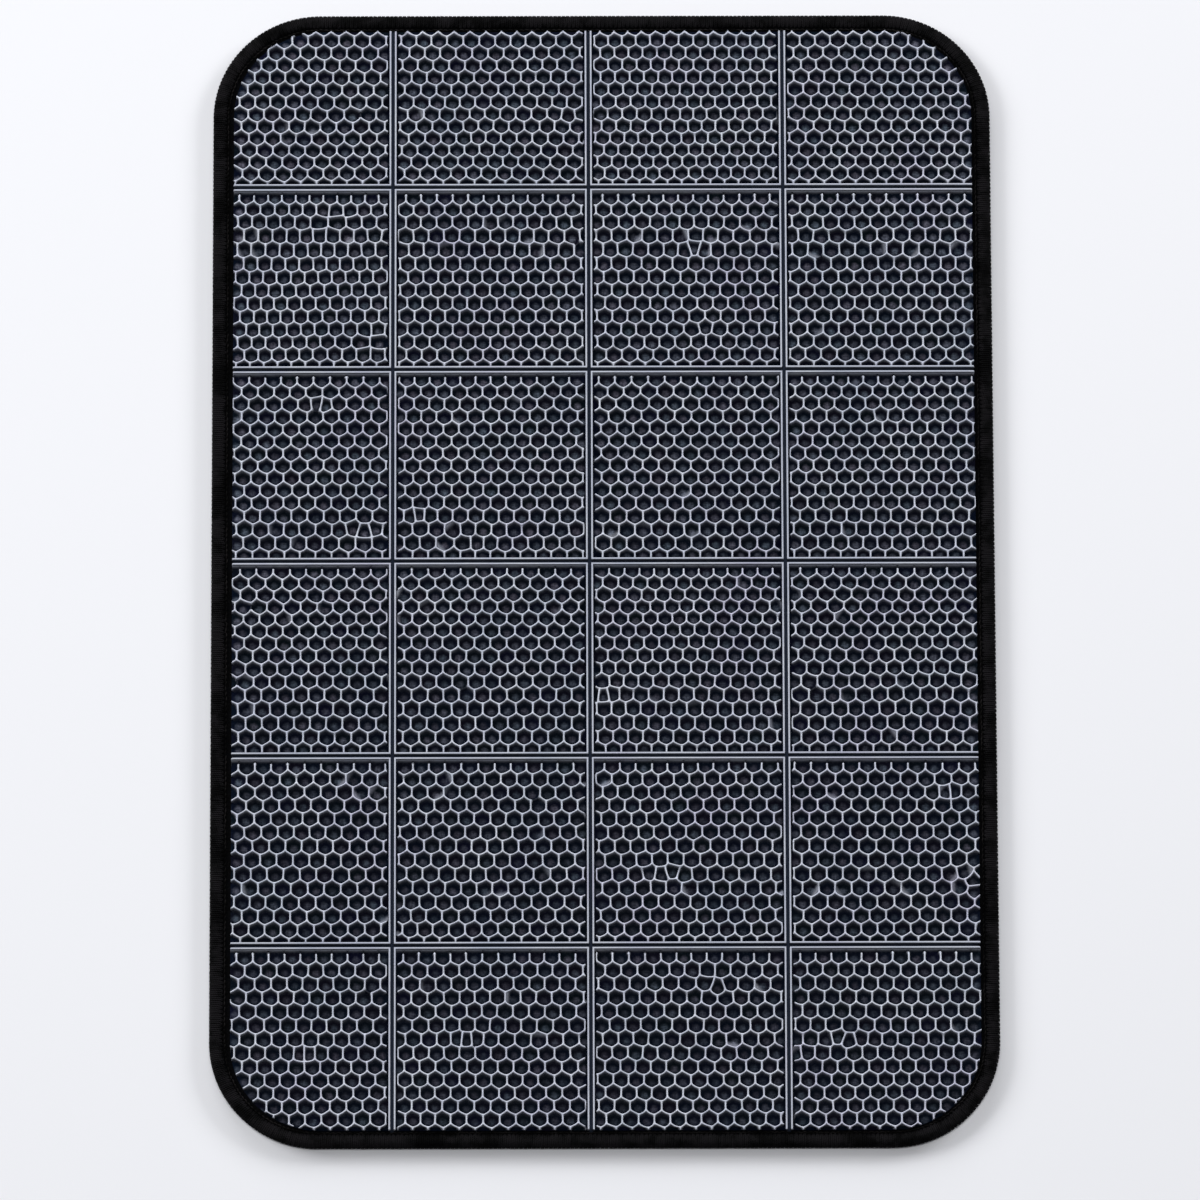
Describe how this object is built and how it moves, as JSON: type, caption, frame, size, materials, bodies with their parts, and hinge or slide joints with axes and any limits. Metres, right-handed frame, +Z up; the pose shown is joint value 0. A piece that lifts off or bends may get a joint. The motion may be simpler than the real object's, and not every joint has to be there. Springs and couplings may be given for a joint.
{
  "type": "door mat",
  "caption": "Flat rectangular door mat with rounded corners: raised honeycomb panels set in a grid, ringed by a black overlock-stitched edge.",
  "frame": {"origin": "on the floor, under the middle of the mat", "axes": "+X across the mat's width, +Y along its length (rows of panels are counted from +Y, columns from -X), +Z up from the floor"},
  "size_m": [0.4, 0.6, 0.0076],
  "materials": {
    "panel_rubber": "matt moulded rubber, near-black in the pits, worn to a pale blue-grey on the crowns of the honeycomb walls and ribs",
    "black_felt": "matt needle-punched felt, black",
    "backing_rubber": "matt black rubber with small anti-slip studs",
    "upper_yarn": "soft black overlock yarn with a faint sheen",
    "lower_yarn": "soft black overlock yarn",
    "needle_yarn": "twisted black sewing thread"
  },
  "bodies": {
    "root": {"honeycomb_panel_r1c1": "panel_rubber", "honeycomb_panel_r1c2": "panel_rubber", "honeycomb_panel_r1c3": "panel_rubber", "honeycomb_panel_r1c4": "panel_rubber", "honeycomb_panel_r2c1": "panel_rubber", "honeycomb_panel_r2c2": "panel_rubber", "honeycomb_panel_r2c3": "panel_rubber", "honeycomb_panel_r2c4": "panel_rubber", "honeycomb_panel_r3c1": "panel_rubber", "honeycomb_panel_r3c2": "panel_rubber", "honeycomb_panel_r3c3": "panel_rubber", "honeycomb_panel_r3c4": "panel_rubber", "honeycomb_panel_r4c1": "panel_rubber", "honeycomb_panel_r4c2": "panel_rubber", "honeycomb_panel_r4c3": "panel_rubber", "honeycomb_panel_r4c4": "panel_rubber", "honeycomb_panel_r5c1": "panel_rubber", "honeycomb_panel_r5c2": "panel_rubber", "honeycomb_panel_r5c3": "panel_rubber", "honeycomb_panel_r5c4": "panel_rubber", "honeycomb_panel_r6c1": "panel_rubber", "honeycomb_panel_r6c2": "panel_rubber", "honeycomb_panel_r6c3": "panel_rubber", "honeycomb_panel_r6c4": "panel_rubber", "carrier_felt": "black_felt", "rubber_backing": "backing_rubber", "overlock_upper_thread": "upper_yarn", "overlock_lower_thread": "lower_yarn", "overlock_needle_thread": "needle_yarn"}
  },
  "joints": []
}
